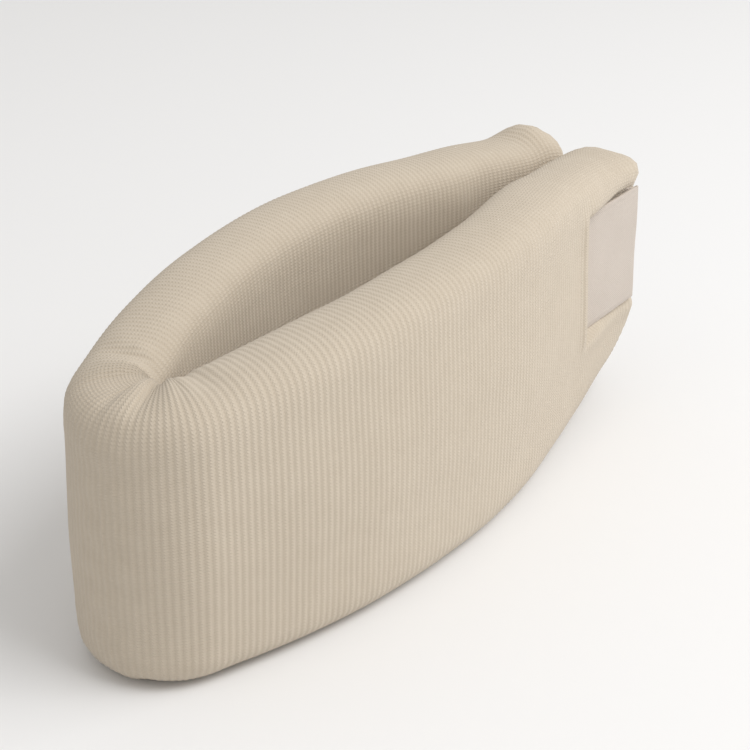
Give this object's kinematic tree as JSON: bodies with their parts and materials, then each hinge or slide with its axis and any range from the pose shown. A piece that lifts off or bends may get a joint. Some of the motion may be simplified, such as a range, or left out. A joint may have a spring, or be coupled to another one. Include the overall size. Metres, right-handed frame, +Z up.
{
  "type": "cervical collar",
  "caption": "Soft foam cervical collar in a knitted cover, folded flat at the chin and closed by a hook strap over a loop pad.",
  "frame": {"origin": "middle of the closed collar's box, on the surface that the lower edge rests on", "axes": "+X along the folded strip from the chin fold to the closure, -Y towards the front half with the loop pad, +Z up"},
  "size_m": [0.2556, 0.0876, 0.0952],
  "materials": {
    "foam": "open-cell polyurethane foam, matt",
    "knitted_cover": "ribbed cotton stockinette, matt beige",
    "loop_tape": "brushed nylon loops, matt beige",
    "strap_tape": "smooth woven nylon tape, satin pinkish beige",
    "hook_tape": "moulded nylon hooks, satin",
    "thread": "spun polyester thread"
  },
  "bodies": {
    "front_half": {"foam_core_front": "foam", "cover_front": "knitted_cover", "end_seam_front": "knitted_cover", "end_seam_thread_front": "thread", "loop_pad": "loop_tape", "loop_pad_stitching": "thread"},
    "rear_half": {"foam_core_rear": "foam", "cover_rear": "knitted_cover", "end_seam_rear": "knitted_cover", "end_seam_thread_rear": "thread", "hook_strap_base": "strap_tape", "hook_strap_stitching": "thread"},
    "hook_tab": {"hook_strap_tab": "strap_tape", "hook_patch": "hook_tape"}
  },
  "joints": [
    {"name": "collar_open", "type": "hinge", "parent": "front_half", "child": "rear_half", "pos_m": [-0.12785, 0, 0.04], "axis": [0, 0, 1], "range_deg": [0, 60], "deforming": ["hook_strap_tab", "hook_patch"]},
    {"name": "tab_peel", "type": "hinge", "parent": "rear_half", "child": "hook_tab", "pos_m": [0.1273, -0.03005, 0.057], "axis": [0, 0, 1], "range_deg": [0, 165]}
  ]
}
